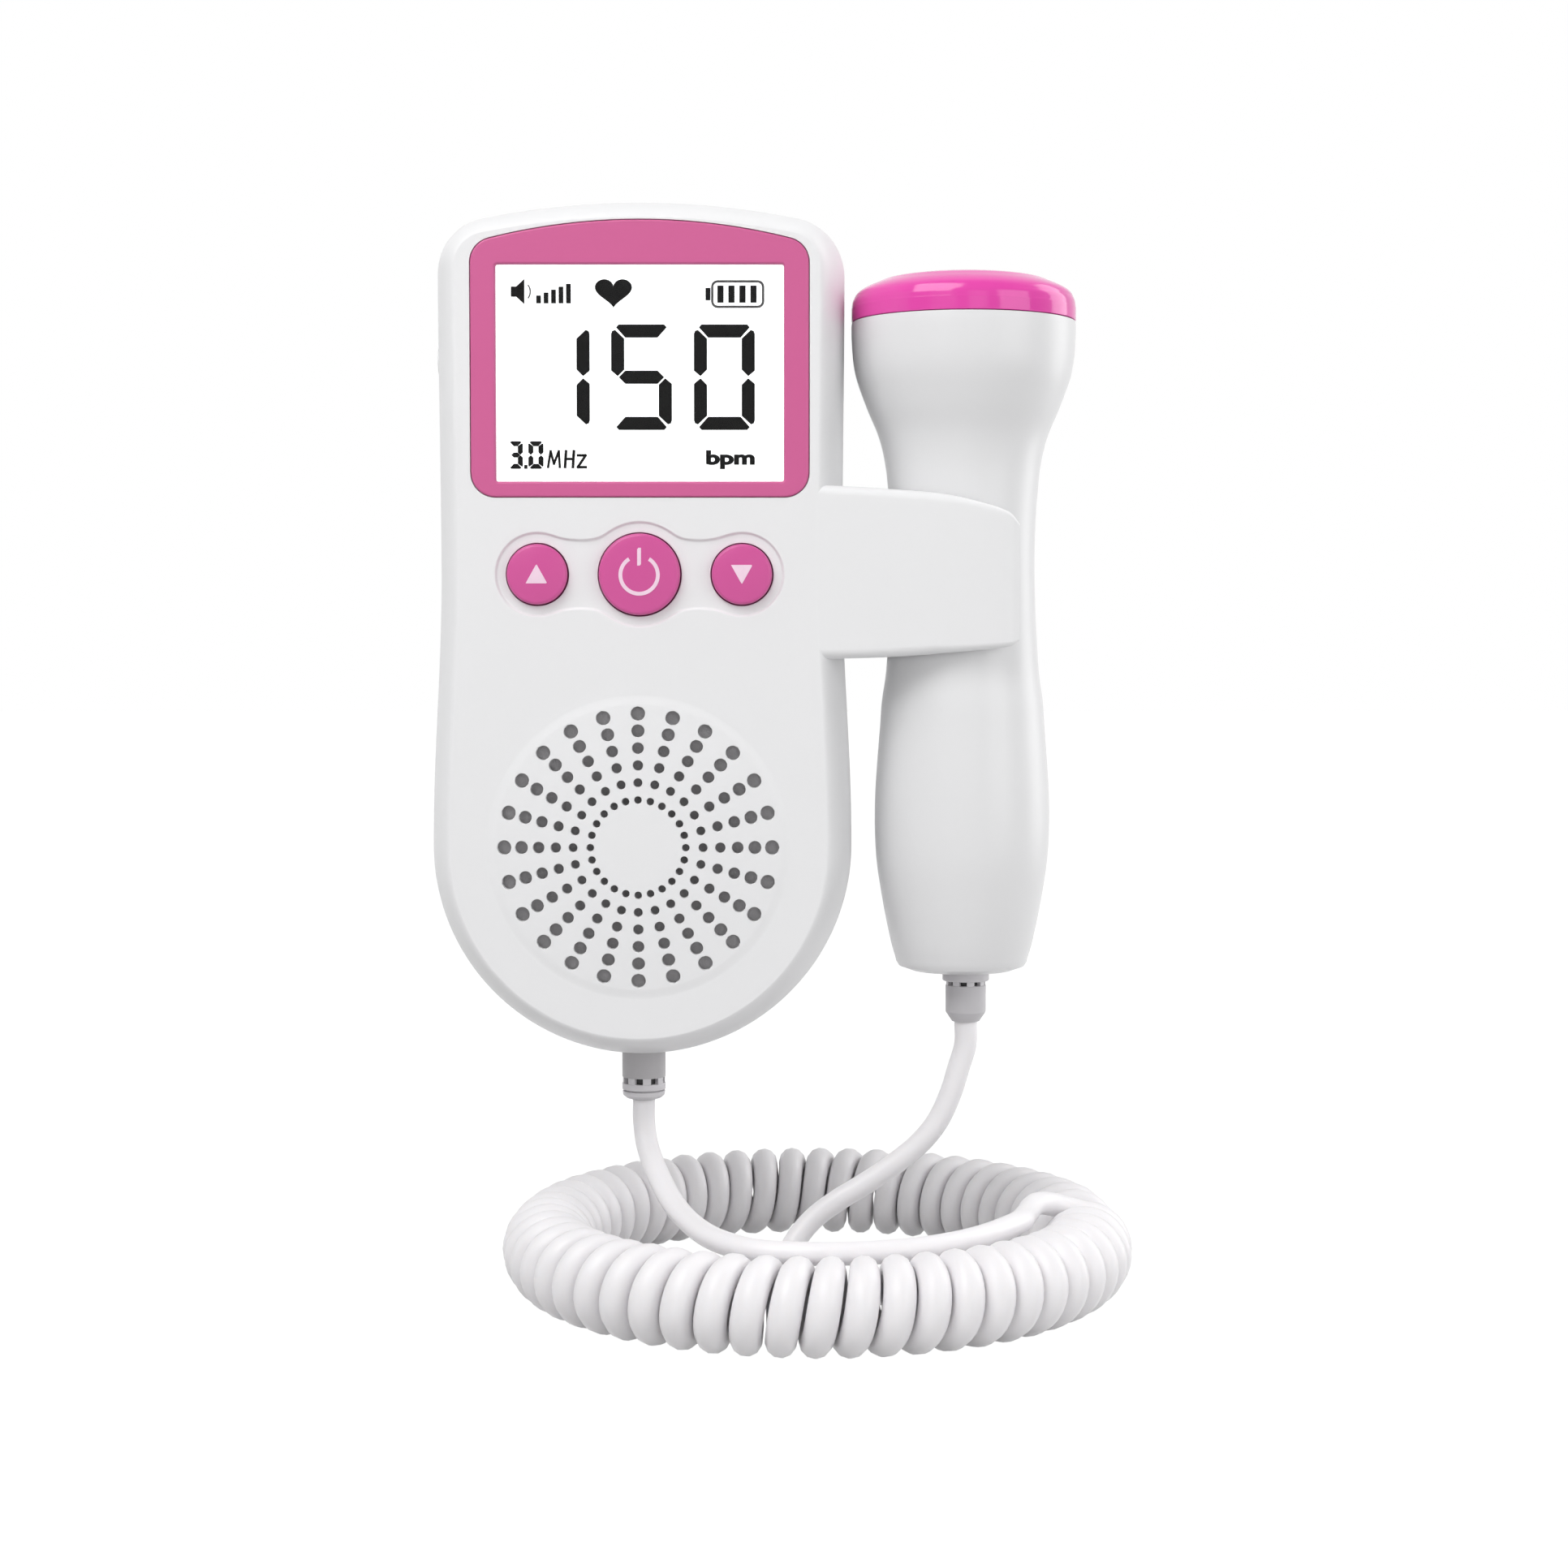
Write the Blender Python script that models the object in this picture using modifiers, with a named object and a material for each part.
"""A hand-held fetal doppler: main unit, ultrasound probe in its holder, and curly cord.

Metres, +Z up, +X to the right, and -Y out of the front. The origin is on the middle of the flat
back. "Ahead" is the distance in front of that back, so a piece that is 20 mm ahead lies at
y = -20 mm. Flat pieces are drawn in a plane of x and height and extruded in the ahead direction.
"""

import math

import bmesh
import bpy
from mathutils import Vector
from mathutils.geometry import interpolate_bezier

MM = 0.001

# Clearances
GAP = 0.3 * MM
OVERRUN = 1.0 * MM
EMBED = 0.5 * MM
WELD = 0.001 * MM

# Main unit: outline, walls and edges
CASE_TOP = 66.8 * MM
CASE_BOTTOM = -67.7 * MM
CASE_SHOULDER_HALF = 32.2 * MM
CASE_WAIST_HALF = 31.7 * MM
CASE_WAIST_Z = 9.0 * MM
CASE_BOTTOM_RADIUS = 33.2 * MM
CASE_CROWN_RADIUS = 125.0 * MM
CASE_CORNER_RADIUS = 7.7 * MM
CASE_WALL = 2.2 * MM
FRONT_ROUND = 5.0 * MM
REAR_ROUND = 4.5 * MM

# Display: the window is what shows of the panel
WINDOW_HALF_WIDTH = 21.9 * MM
WINDOW_HALF_HEIGHT = 16.4 * MM
WINDOW_Z = 38.4 * MM
WINDOW_LAP = 1.4 * MM
BEZEL_HALF_WIDTH = 25.85 * MM
BEZEL_BOTTOM = 19.65 * MM
BEZEL_TOP = 61.5 * MM
BEZEL_CROWN_RADIUS = 94.5 * MM
BEZEL_CORNER_RADIUS = 3.7 * MM
BEZEL_RECESS = 1.2 * MM
BEZEL_PROUD = 0.2 * MM
LCD_LAP = 2.9 * MM
LCD_THICKNESS = 1.6 * MM
BACKLIGHT_THICKNESS = 2.8 * MM

# Main board behind the display and keys
BOARD_HALF_WIDTH = 21.4 * MM
BOARD_TOP = 58.0 * MM
BOARD_BOTTOM = -8.0 * MM
BOARD_THICKNESS = 1.6 * MM
BOARD_REAR_SPACE = 2.7 * MM

# Keys: each cap rises through the front wall and is kept in by a flange behind it
KEY_Z = 7.9 * MM
KEY_SPACING = 15.6 * MM
POWER_RADIUS = 6.4 * MM
ARROW_RADIUS = 4.8 * MM
KEY_PROUD = 1.3 * MM
KEY_CROWN = 0.35 * MM
KEY_EDGE = 0.6 * MM
KEY_FLANGE = 1.0 * MM
KEY_FLANGE_THICKNESS = 0.9 * MM
KEY_TRAVEL = 0.8 * MM
POCKET_DEPTH = 0.4 * MM
POCKET_SIDE_MARGIN = 1.8 * MM
POCKET_BAR_HALF = 5.4 * MM
POCKET_BAR_DIP = 0.3 * MM
SWITCH_SIZE = 6.0 * MM
SWITCH_PLUNGER_RADIUS = 1.7 * MM
SWITCH_PLUNGER_RISE = 0.5 * MM

# Speaker: grille disc, gasket, cone, frame and magnet, front to back
SPEAKER_Z = -33.8 * MM
SPEAKER_RADIUS = 23.2 * MM
GRILLE_THICKNESS = 1.2 * MM
GRILLE_DISH = 0.5 * MM
GRILLE_LEDGE = 1.6 * MM
SPOKE_COUNT = 24
RING_COUNT = 6
FIRST_HOLE_RING = 7.3 * MM
HOLE_RING_PITCH = 2.64 * MM
SMALL_HOLE = 1.15 * MM
LARGE_HOLE = 2.2 * MM
SMALL_HOLE_SIDES = 4
LARGE_HOLE_SIDES = 5
SPEAKER_RIB_WALL = 1.2 * MM
SPEAKER_RIB_HEIGHT = 5.0 * MM
GASKET_THICKNESS = 0.6 * MM
FRAME_FLANGE = 3.4 * MM
FRAME_WALL = 0.9 * MM
FRAME_DEPTH = 9.0 * MM
FRAME_BACK_RADIUS = 12.6 * MM
FRAME_BORE = 6.0 * MM
MAGNET_RADIUS = 11.5 * MM
MAGNET_THICKNESS = 5.8 * MM
CONE_THICKNESS = 0.4 * MM
CONE_DEPTH = 4.6 * MM
DUST_CAP_RADIUS = 4.5 * MM

# Batteries: two AA cells side by side in a bay that opens at the back
CELL_RADIUS = 7.25 * MM
CELL_LENGTH = 50.5 * MM
CELL_NUB_RADIUS = 2.75 * MM
CELL_NUB_HEIGHT = 1.2 * MM
CELL_EDGE = 0.6 * MM
CONTACT_THICKNESS = 0.5 * MM
SPRING_HEIGHT = 1.6 * MM
SPRING_BASE_RADIUS = 3.6 * MM
SPRING_TIP_RADIUS = 2.2 * MM
BAY_TOP = 59.2 * MM
TRAY_WALL = 1.2 * MM
CELL_X = CELL_RADIUS + GAP
BAY_HALF = CELL_X + CELL_RADIUS + GAP
BAY_LENGTH = CELL_LENGTH + SPRING_HEIGHT + 2 * CONTACT_THICKNESS + 4 * GAP
BAY_BOTTOM = BAY_TOP - BAY_LENGTH

# Battery door: it lies on a ledge round the bay and swings about its top edge
DOOR_LAP = 2.4 * MM
DOOR_TOP_LAP = 1.2 * MM
DOOR_THICKNESS = 1.4 * MM
DOOR_CORNER_RADIUS = 2.5 * MM
DOOR_HINGE_RADIUS = 0.6 * MM
DOOR_SEAT_GAP = 0.5 * MM
DOOR_SWING_GAP = 0.6 * MM
DOOR_FRAME_WALL = 1.5 * MM
DOOR_FRAME_DEPTH = 3.6 * MM
DOOR_HALF = BAY_HALF + DOOR_LAP
DOOR_BOTTOM = BAY_BOTTOM - DOOR_LAP
DOOR_TOP = BAY_TOP + DOOR_TOP_LAP
HINGE_INSET = DOOR_THICKNESS / 2

# Depth of the main unit: door, cells, board and display lie one in front of the other
CELL_DOOR_GAP = 0.8 * MM
BAY_DEPTH = DOOR_THICKNESS + CELL_DOOR_GAP + 2 * CELL_RADIUS + GAP
BOARD_FRONT = BAY_DEPTH + TRAY_WALL + BOARD_REAR_SPACE + BOARD_THICKNESS
LCD_FRONT = BOARD_FRONT + GAP + BACKLIGHT_THICKNESS + GAP + LCD_THICKNESS
INNER_FRONT = LCD_FRONT + GAP
CASE_DEPTH = INNER_FRONT + CASE_WALL
MID_Y = -CASE_DEPTH / 2
SPLIT_REAR = CASE_DEPTH / 2 - GAP / 2
SPLIT_FRONT = CASE_DEPTH / 2 + GAP / 2

# Case screws, from the back into blind bosses of the front cover
SCREW_UPPER_X = 25.3 * MM
SCREW_UPPER_Z = 15.0 * MM
SCREW_LOWER_RADIUS = 27.2 * MM
SCREW_LOWER_ANGLE = math.radians(45)
SCREW_HEAD_RADIUS = 2.4 * MM
SCREW_HEAD_HEIGHT = 1.8 * MM
SCREW_HEAD_SUNK = 1.2 * MM
SCREW_SHANK_RADIUS = 1.3 * MM
SCREW_LENGTH = 19.0 * MM
BOSS_RADIUS = 2.9 * MM
REAR_BOSS_RADIUS = 3.4 * MM

# Earphone socket in the left side, where the covers meet
JACK_Z = 42.0 * MM
JACK_BORE = 1.8 * MM
JACK_RADIUS = 2.7 * MM
JACK_BODY_RADIUS = 3.6 * MM
JACK_COLLAR = 2.9 * MM
JACK_LENGTH = 9.0 * MM
JACK_END_WALL = 1.0 * MM

# Probe: turned body, its axis upright in the holder's slot, its head just clear of the case
PROBE_TOP = 47.7 * MM
PROBE_NECK_TOP = 21.8 * MM
PROBE_NECK_BOTTOM = -3.5 * MM
PROBE_GRIP_Z = -29.0 * MM
PROBE_BOTTOM = -55.7 * MM
HEAD_RADIUS = 17.6 * MM
HEAD_CLEARANCE = 0.7 * MM
PROBE_X = CASE_SHOULDER_HALF + HEAD_CLEARANCE + HEAD_RADIUS
NECK_RADIUS = 11.8 * MM
GRIP_RADIUS = 13.8 * MM
FOOT_RADIUS = 7.8 * MM
PROBE_WALL = 1.8 * MM
HEAD_SHARES = ((0.0, 0.0), (0.11, 0.05), (0.30, 0.235), (0.50, 0.60), (0.70, 0.90), (0.88, 0.99), (1.0, 1.0))
GRIP_SHARES = ((0.0, 0.0), (0.15, 0.14), (0.32, 0.45), (0.50, 0.62), (0.70, 0.82), (0.88, 0.96), (1.0, 1.0))
FOOT_SHARES = ((0.30, 0.05), (0.49, 0.175), (0.68, 0.335), (0.87, 0.545), (0.95, 0.72), (1.0, 1.0))

# Transducer cap and what lies under it
CAP_HEIGHT = 7.3 * MM
CAP_SKIRT = 3.2 * MM
CAP_WALL = 2.2 * MM
CAP_SHARES = ((1.0, 0.0), (1.0, 0.26), (0.985, 0.45), (0.93, 0.63), (0.80, 0.78), (0.67, 0.88), (0.35, 0.97))
CRYSTAL_THICKNESS = 1.2 * MM
CRYSTAL_SPLIT = 1.2 * MM
BACKING_THICKNESS = 3.6 * MM
PROBE_BOARD_THICKNESS = 1.6 * MM
PROBE_BOARD_TOP = 30.0 * MM
PROBE_BOARD_BOTTOM = -34.0 * MM

# Holder: two jaws, one on each cover, flush with the faces and curved back at their tips
ARM_ROOT_X = 27.0 * MM
ARM_OVERHANG = 7.9 * MM
ARM_TIP_X = PROBE_X + ARM_OVERHANG
ARM_ROOT_TOP = 21.6 * MM
ARM_ROOT_BOTTOM = -5.0 * MM
ARM_TIP_TOP = 15.6 * MM
ARM_TIP_BOTTOM = -2.2 * MM
ARM_TIP_SETBACK = 1.9 * MM
ARM_EDGE_ROUND = 1.5 * MM
NECK_CLEARANCE = 0.6 * MM
ARM_SHARES = (
    (0.0, 0.0, 0.0, 0.0),
    (0.35, 0.10, 0.10, 0.0),
    (0.70, 0.30, 0.39, 0.0),
    (0.83, 0.47, 0.52, 0.12),
    (0.91, 0.60, 0.63, 0.34),
    (0.965, 0.76, 0.76, 0.62),
    (1.0, 1.0, 1.0, 1.0),
)

# Strain reliefs: a flange inside the wall, a neck through it and a grooved body outside
RELIEF_FLANGE_RADIUS = 4.6 * MM
RELIEF_FLANGE_HEIGHT = 1.6 * MM
RELIEF_NECK_RADIUS = 3.0 * MM
MAIN_RELIEF_RADIUS = 3.45 * MM
MAIN_RELIEF_LENGTH = 7.0 * MM
MAIN_RELIEF_END_RADIUS = 2.6 * MM
PROBE_RELIEF_RADIUS = 3.2 * MM
PROBE_RELIEF_LENGTH = 6.6 * MM
PROBE_RELIEF_END_RADIUS = 2.2 * MM
PROBE_RELIEF_SHIFT = 0.7 * MM
RELIEF_GROOVE = 0.55 * MM
MAIN_RELIEF_SHARES = ((0.0, 0.0), (0.46, 0.0), (0.50, 1.0), (0.60, 1.0), (0.64, 0.0), (0.86, 0.0))
PROBE_RELIEF_SHARES = ((0.0, 0.0), (0.06, 0.0), (0.08, 0.8), (0.14, 0.8), (0.16, 0.0), (0.76, 0.0))

# Curly cord, lying as a ring on the surface below
CORD_DIAMETER = 3.6 * MM
COIL_DIAMETER = 15.0 * MM
RING_RADIUS = 42.25 * MM
RING_X = 27.6 * MM
RING_Y = -15.0 * MM
FLOOR_Z = -105.5 * MM
CURL_RADIUS = (COIL_DIAMETER - CORD_DIAMETER) / 2
RING_Z = FLOOR_Z + COIL_DIAMETER / 2
CURL_TURNS = 53.5
CURL_STEPS = 8
CURL_START = math.radians(87)
CURL_SPAN = math.radians(350)
LEAD_START = math.radians(74)
LEAD_RADIUS = 34.2 * MM
LEAD_Z = -91.3 * MM
LEAD_HANDLE = 5.2 * MM
LEAD_RISE = 1.5 * MM
LEAD_STEPS = 6
TAIL_STEP = 7.0 * MM
SMOOTH_STEPS = 25
HANDLE_SHARE = 1 / 6

# Routes of the two straight stretches, in millimetres, chosen by hand
MAIN_TAIL_ROUTE = (
    (0.6, -16.6, -82.2),
    (2.4, -20.6, -86.0),
    (5.0, -27.0, -89.2),
    (8.2, -34.6, -91.0),
    (12.2, -42.0, -91.9),
    (18.2, -47.6, -92.3),
    (26.4, -49.4, -92.4),
    (34.6, -48.7, -92.4),
    (42.2, -46.2, -92.3),
    (48.8, -42.1, -92.2),
    (53.8, -37.4, -91.9),
)
PROBE_TAIL_ROUTE = (
    (50.1, -15.0, -70.1),
    (48.8, -15.0, -74.3),
    (46.8, -15.0, -78.6),
    (44.0, -15.0, -82.1),
    (40.3, -15.0, -85.2),
    (35.7, -15.0, -88.4),
    (31.0, -15.0, -91.3),
    (27.2, -15.2, -94.1),
    (24.4, -16.2, -97.2),
    (22.3, -18.4, -100.6),
    (21.2, -22.0, -103.0),
    (22.4, -26.6, -103.7),
    (27.0, -29.4, -103.7),
    (33.5, -28.4, -103.7),
    (41.0, -24.0, -103.7),
    (49.5, -18.6, -103.7),
    (58.0, -13.8, -103.7),
)


def group(name, shown):
    """The collection of that name, made at first use."""
    found = bpy.data.collections.get(name)
    if found is None:
        found = bpy.data.collections.new(name)
        bpy.context.scene.collection.children.link(found)
        found.hide_render = not shown
    return found


def new_object(name, data):
    obj = bpy.data.objects.new(name, data)
    group("fetal_doppler", True).objects.link(obj)
    return obj


def helper(obj):
    """Marks an object as a cutter or a piece to be joined, which isn't a part itself."""
    group("fetal_doppler", True).objects.unlink(obj)
    group("cutters", False).objects.link(obj)
    obj.hide_render = True
    obj.display_type = "WIRE"
    return obj


def settle(obj):
    """Replaces the object's mesh or curve by its evaluated mesh and clears the modifiers."""
    graph = bpy.context.evaluated_depsgraph_get()
    mesh = bpy.data.meshes.new_from_object(obj.evaluated_get(graph))
    obj.modifiers.clear()
    obj.data = mesh
    work = bmesh.new()
    work.from_mesh(mesh)
    bmesh.ops.remove_doubles(work, verts=work.verts, dist=WELD)
    bmesh.ops.recalc_face_normals(work, faces=work.faces)
    work.to_mesh(mesh)
    work.free()
    mesh.shade_smooth()
    mesh.set_sharp_from_angle(angle=math.radians(35))
    return obj


def boolean(obj, other, operation):
    modifier = obj.modifiers.new(other.name, "BOOLEAN")
    modifier.operation = operation
    modifier.solver = "EXACT"
    modifier.object = helper(other)
    return obj


def cut(obj, other):
    return boolean(obj, other, "DIFFERENCE")


def join(obj, other):
    return boolean(obj, other, "UNION")


def arc(centre, radius, start, end, steps):
    """Points on an arc, with angles in degrees anticlockwise from the first axis."""
    angles = [math.radians(start + (end - start) * i / steps) for i in range(steps + 1)]
    return [(centre[0] + radius * math.cos(a), centre[1] + radius * math.sin(a)) for a in angles]


def rounded_box(half_width, low, high, low_radius, high_radius, steps=3):
    """The outline of a rectangle centred on x = 0, with round corners below and above."""
    x = half_width - low_radius
    outline = arc((-x, low + low_radius), low_radius, 180, 270, steps)
    outline += arc((x, low + low_radius), low_radius, 270, 360, steps)
    x = half_width - high_radius
    outline += arc((x, high - high_radius), high_radius, 0, 90, steps)
    return outline + arc((-x, high - high_radius), high_radius, 90, 180, steps)


def mirrored(half):
    """A closed outline from its right half, which runs from the top middle to the bottom middle."""
    return half + [(-x, z) for x, z in reversed(half[1:-1])]


def flat_solid(name, outlines, low, high):
    """Extrudes an outline, and holes after it, along local z from low to high."""
    curve = bpy.data.curves.new(name, "CURVE")
    curve.dimensions = "2D"
    curve.fill_mode = "BOTH"
    curve.extrude = (high - low) / 2 / MM
    for outline in outlines:
        spline = curve.splines.new("POLY")
        spline.points.add(len(outline) - 1)
        spline.use_cyclic_u = True
        for point, (x, y) in zip(spline.points, outline):
            point.co = (x / MM, y / MM, 0, 1)
    sketch = new_object(name + "_sketch", curve)
    graph = bpy.context.evaluated_depsgraph_get()
    mesh = bpy.data.meshes.new_from_object(sketch.evaluated_get(graph))
    bpy.data.objects.remove(sketch)
    work = bmesh.new()
    work.from_mesh(mesh)
    bmesh.ops.scale(work, vec=(MM, MM, MM), verts=work.verts)
    bmesh.ops.translate(work, vec=(0, 0, (low + high) / 2), verts=work.verts)
    bmesh.ops.remove_doubles(work, verts=work.verts, dist=WELD)
    if len(outlines) == 1:
        bmesh.ops.dissolve_limit(work, angle_limit=math.radians(0.05), verts=work.verts, edges=work.edges)
    bmesh.ops.recalc_face_normals(work, faces=work.faces)
    work.to_mesh(mesh)
    work.free()
    return new_object(name, mesh)


def slab(name, outlines, back, front):
    """A flat solid drawn in x and height, between two distances ahead of the back."""
    obj = flat_solid(name, outlines, back, front)
    obj.rotation_euler = (math.radians(90), 0, 0)
    return obj


def round_rim(obj, level, radius, segments):
    """Rounds the edge of a flat solid's face at that local z."""
    mesh = obj.data
    weights = mesh.attributes.new("bevel_weight_edge", "FLOAT", "EDGE")
    for edge in mesh.edges:
        heights = [mesh.vertices[i].co.z for i in edge.vertices]
        if max(abs(z - level) for z in heights) < WELD:
            weights.data[edge.index].value = 1
    modifier = obj.modifiers.new("rounded_rim", "BEVEL")
    modifier.limit_method = "WEIGHT"
    modifier.width = radius
    modifier.segments = segments
    modifier.use_clamp_overlap = False
    return obj


def block(name, low, high):
    """A box between two corners, with its origin at its middle."""
    size = [b - a for a, b in zip(low, high)]
    work = bmesh.new()
    bmesh.ops.create_cube(work, size=1)
    bmesh.ops.scale(work, vec=size, verts=work.verts)
    mesh = bpy.data.meshes.new(name)
    work.to_mesh(mesh)
    work.free()
    obj = new_object(name, mesh)
    obj.location = [(a + b) / 2 for a, b in zip(low, high)]
    return obj


def panel(name, half_width, bottom, top, back, front):
    """A box centred on x = 0, between two heights and two distances ahead."""
    return block(name, (-half_width, -front, bottom), (half_width, -back, top))


def drum(name, radius, low, high, sides):
    """A cylinder along local z."""
    work = bmesh.new()
    size = {"radius1": radius, "radius2": radius, "depth": high - low}
    bmesh.ops.create_cone(work, cap_ends=True, segments=sides, **size)
    bmesh.ops.translate(work, vec=(0, 0, (low + high) / 2), verts=work.verts)
    mesh = bpy.data.meshes.new(name)
    work.to_mesh(mesh)
    work.free()
    return new_object(name, mesh)


def turned(name, profile, steps, ring=False):
    """Turns a profile of radius and height about local z. It runs down its outer side."""
    mesh = bpy.data.meshes.new(name)
    edges = [(i, i + 1) for i in range(len(profile) - 1)]
    if ring:
        edges.append((len(profile) - 1, 0))
    mesh.from_pydata([(r, 0, z) for r, z in profile], edges, [])
    obj = new_object(name, mesh)
    modifier = obj.modifiers.new("turned", "SCREW")
    modifier.steps = steps
    modifier.render_steps = steps
    modifier.use_merge_vertices = True
    modifier.merge_threshold = WELD
    modifier.use_smooth_shade = True
    return obj


def ahead(obj, x, z):
    """Turns an object's local z to point ahead, and stands it at x and z on the back plane."""
    obj.rotation_euler = (math.radians(90), 0, 0)
    obj.location = (x, 0, z)
    return obj


def loft(name, sections):
    """Skins sections of equal point count, with a face over each end."""
    work = bmesh.new()
    rings = [[work.verts.new(p) for p in section] for section in sections]
    count = len(rings[0])
    for first, second in zip(rings, rings[1:]):
        for i in range(count):
            work.faces.new((first[i], first[(i + 1) % count], second[(i + 1) % count], second[i]))
    work.faces.new(rings[0])
    work.faces.new(rings[-1])
    bmesh.ops.recalc_face_normals(work, faces=work.faces)
    mesh = bpy.data.meshes.new(name)
    work.to_mesh(mesh)
    work.free()
    return new_object(name, mesh)


def finish(obj, name, colour, roughness, metallic=0.0, transmission=0.0):
    """Settles a part and gives it its own Principled material."""
    if obj.type == "MESH":
        settle(obj)
    material = bpy.data.materials.new(name)
    material.use_nodes = True
    shader = material.node_tree.nodes["Principled BSDF"]
    shader.inputs["Base Color"].default_value = (*colour, 1)
    shader.inputs["Roughness"].default_value = roughness
    shader.inputs["Metallic"].default_value = metallic
    shader.inputs["Transmission Weight"].default_value = transmission
    material.diffuse_color = (*colour, 1)
    obj.data.materials.clear()
    obj.data.materials.append(material)
    return obj


WHITE = (0.81, 0.81, 0.82)
PINK = (0.64, 0.14, 0.34)
HOT_PINK = (0.86, 0.08, 0.45)
GREY = (0.42, 0.41, 0.42)
DARK = (0.03, 0.03, 0.03)
GREEN = (0.03, 0.22, 0.08)
STEEL = (0.62, 0.62, 0.62)
CERAMIC = (0.72, 0.66, 0.52)


def case_outline(inset):
    """The main unit's outline: crown, shoulders, slight waist and round bottom."""
    crown_z = CASE_TOP - CASE_CROWN_RADIUS
    corner_x = CASE_SHOULDER_HALF - CASE_CORNER_RADIUS
    reach = CASE_CROWN_RADIUS - CASE_CORNER_RADIUS
    corner_z = crown_z + math.sqrt(reach**2 - corner_x**2)
    turn = math.degrees(math.atan2(corner_z - crown_z, corner_x))
    bottom_z = CASE_BOTTOM + CASE_BOTTOM_RADIUS
    half = arc((0, crown_z), CASE_CROWN_RADIUS - inset, 90, turn, 3)[:-1]
    half += arc((corner_x, corner_z), CASE_CORNER_RADIUS - inset, turn, 0, 4)
    side = ((CASE_SHOULDER_HALF, corner_z), (CASE_WAIST_HALF, CASE_WAIST_Z), (CASE_BOTTOM_RADIUS, bottom_z))
    for (x0, z0), (x1, z1) in zip(side, side[1:]):
        for i in range(1, 4):
            ease = (1 - math.cos(math.pi * i / 3)) / 2
            half.append((x0 + (x1 - x0) * ease - inset, z0 + (z1 - z0) * i / 3))
    half += arc((0, bottom_z), CASE_BOTTOM_RADIUS - inset, 0, -90, 9)[1:]
    half[0] = (0.0, half[0][1])
    half[-1] = (0.0, half[-1][1])
    return mirrored(half)


def screw_places():
    lower_z = CASE_BOTTOM + CASE_BOTTOM_RADIUS - SCREW_LOWER_RADIUS * math.cos(SCREW_LOWER_ANGLE)
    lower_x = SCREW_LOWER_RADIUS * math.sin(SCREW_LOWER_ANGLE)
    return (
        (-SCREW_UPPER_X, SCREW_UPPER_Z),
        (SCREW_UPPER_X, SCREW_UPPER_Z),
        (-lower_x, lower_z),
        (lower_x, lower_z),
    )


def key_places():
    """Each key's name, x and radius."""
    return (
        ("up", -KEY_SPACING, ARROW_RADIUS),
        ("power", 0.0, POWER_RADIUS),
        ("down", KEY_SPACING, ARROW_RADIUS),
    )


def slot_half():
    return NECK_RADIUS + NECK_CLEARANCE


def bezel_outline(gap):
    """The pink frame's outline, with an arched top, grown by a gap."""
    crown_z = BEZEL_TOP - BEZEL_CROWN_RADIUS
    corner_x = BEZEL_HALF_WIDTH - BEZEL_CORNER_RADIUS
    reach = BEZEL_CROWN_RADIUS - BEZEL_CORNER_RADIUS
    corner_z = crown_z + math.sqrt(reach**2 - corner_x**2)
    turn = math.degrees(math.atan2(corner_z - crown_z, corner_x))
    radius = BEZEL_CORNER_RADIUS + gap
    half = arc((0, crown_z), BEZEL_CROWN_RADIUS + gap, 90, turn, 4)[:-1]
    half += arc((corner_x, corner_z), radius, turn, 0, 3)
    half += arc((corner_x, BEZEL_BOTTOM + BEZEL_CORNER_RADIUS), radius, 0, -90, 3)
    half.append((0.0, BEZEL_BOTTOM - gap))
    half[0] = (0.0, half[0][1])
    return mirrored(half)


def pocket_outline():
    """The shallow pocket round the three keys: three round lobes on one bar."""
    side = ARROW_RADIUS + POCKET_SIDE_MARGIN
    middle = POWER_RADIUS + POCKET_SIDE_MARGIN
    side_turn = math.degrees(math.asin(POCKET_BAR_HALF / side))
    middle_turn = math.degrees(math.asin(POCKET_BAR_HALF / middle))
    side_meets = KEY_SPACING - side * math.cos(math.radians(side_turn))
    dip_x = (side_meets + middle * math.cos(math.radians(middle_turn))) / 2
    dip = POCKET_BAR_HALF - POCKET_BAR_DIP
    half = arc((0, KEY_Z), middle, 90, middle_turn, 3) + [(dip_x, KEY_Z + dip)]
    half += arc((KEY_SPACING, KEY_Z), side, 180 - side_turn, side_turn - 180, 12)
    half += [(dip_x, KEY_Z - dip)] + arc((0, KEY_Z), middle, -middle_turn, -90, 3)
    half[0] = (0.0, half[0][1])
    half[-1] = (0.0, half[-1][1])
    return mirrored(half)


def window_outline(grow):
    """The display opening, grown on every side."""
    w = WINDOW_HALF_WIDTH + grow
    h = WINDOW_HALF_HEIGHT + grow
    return [(w, WINDOW_Z + h), (w, WINDOW_Z - h), (-w, WINDOW_Z - h), (-w, WINDOW_Z + h)]


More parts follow.
